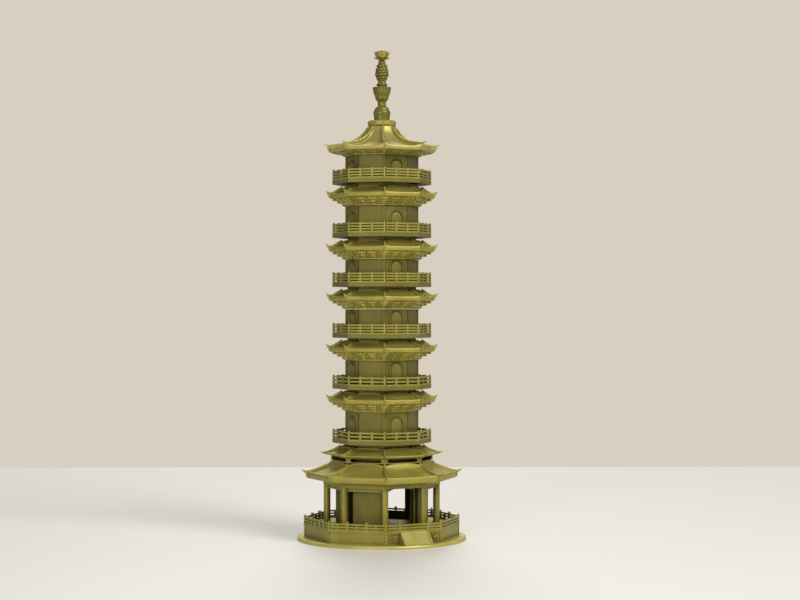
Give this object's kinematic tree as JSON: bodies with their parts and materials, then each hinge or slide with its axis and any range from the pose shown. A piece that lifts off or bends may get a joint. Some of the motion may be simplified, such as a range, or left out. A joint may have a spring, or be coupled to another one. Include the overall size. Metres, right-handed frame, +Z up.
{
  "type": "miniature pagoda model",
  "caption": "Free-standing souvenir model of a tiered octagonal pagoda on a round foot, with railed balconies, upturned eaves, an open ground hall and a turned finial",
  "frame": {"origin": "middle of the underside of the round foot disc", "axes": "+Z up along the tower, the entrance ramp and doorway face -Y, octagon faces lie on +-X and +-Y"},
  "size_m": [0.103, 0.103, 0.3],
  "materials": {
    "olive_gold": "satin moulded plastic with a soft olive-gold sheen",
    "finial_gold": "satin moulded plastic, warmer gold"
  },
  "bodies": {
    "base": {"base_disc": "olive_gold", "plinth": "olive_gold", "plinth_relief": "olive_gold", "entrance_ramp": "olive_gold", "terrace_railing": "olive_gold", "gallery_columns": "olive_gold", "gallery_beam": "olive_gold", "gallery_tie_rails": "olive_gold", "hall_posts": "olive_gold", "hall_panels": "olive_gold", "hall_windows": "olive_gold", "hall_doorway": "olive_gold", "hall_lintels": "olive_gold", "lower_roof": "olive_gold", "clerestory": "olive_gold", "upper_eave": "olive_gold"},
    "storey_2": {"balcony_2": "olive_gold", "railing_2": "olive_gold", "drum_2": "olive_gold", "doors_2": "olive_gold", "brackets_2": "olive_gold", "roof_2": "olive_gold"},
    "storey_3": {"balcony_3": "olive_gold", "railing_3": "olive_gold", "drum_3": "olive_gold", "doors_3": "olive_gold", "brackets_3": "olive_gold", "roof_3": "olive_gold"},
    "storey_4": {"balcony_4": "olive_gold", "railing_4": "olive_gold", "drum_4": "olive_gold", "doors_4": "olive_gold", "brackets_4": "olive_gold", "roof_4": "olive_gold"},
    "storey_5": {"balcony_5": "olive_gold", "railing_5": "olive_gold", "drum_5": "olive_gold", "doors_5": "olive_gold", "brackets_5": "olive_gold", "roof_5": "olive_gold"},
    "storey_6": {"balcony_6": "olive_gold", "railing_6": "olive_gold", "drum_6": "olive_gold", "doors_6": "olive_gold", "brackets_6": "olive_gold", "roof_6": "olive_gold"},
    "storey_7": {"balcony_7": "olive_gold", "railing_7": "olive_gold", "drum_7": "olive_gold", "doors_7": "olive_gold", "brackets_7": "olive_gold", "roof_7": "olive_gold", "collar_ring": "olive_gold"},
    "finial": {"finial_pin": "olive_gold", "finial_bowl": "olive_gold", "finial_cup": "olive_gold", "finial_ring": "olive_gold", "finial_bud": "olive_gold", "finial_crown": "finial_gold"}
  },
  "joints": [
    {"name": "storey_2_lift", "type": "slide", "parent": "base", "child": "storey_2", "axis": [0, 0, 1], "range_m": [0, 0.012]},
    {"name": "storey_3_lift", "type": "slide", "parent": "storey_2", "child": "storey_3", "axis": [0, 0, 1], "range_m": [0, 0.012]},
    {"name": "storey_4_lift", "type": "slide", "parent": "storey_3", "child": "storey_4", "axis": [0, 0, 1], "range_m": [0, 0.012]},
    {"name": "storey_5_lift", "type": "slide", "parent": "storey_4", "child": "storey_5", "axis": [0, 0, 1], "range_m": [0, 0.012]},
    {"name": "storey_6_lift", "type": "slide", "parent": "storey_5", "child": "storey_6", "axis": [0, 0, 1], "range_m": [0, 0.012]},
    {"name": "storey_7_lift", "type": "slide", "parent": "storey_6", "child": "storey_7", "axis": [0, 0, 1], "range_m": [0, 0.012]},
    {"name": "finial_lift", "type": "slide", "parent": "storey_7", "child": "finial", "axis": [0, 0, 1], "range_m": [0, 0.02]}
  ]
}
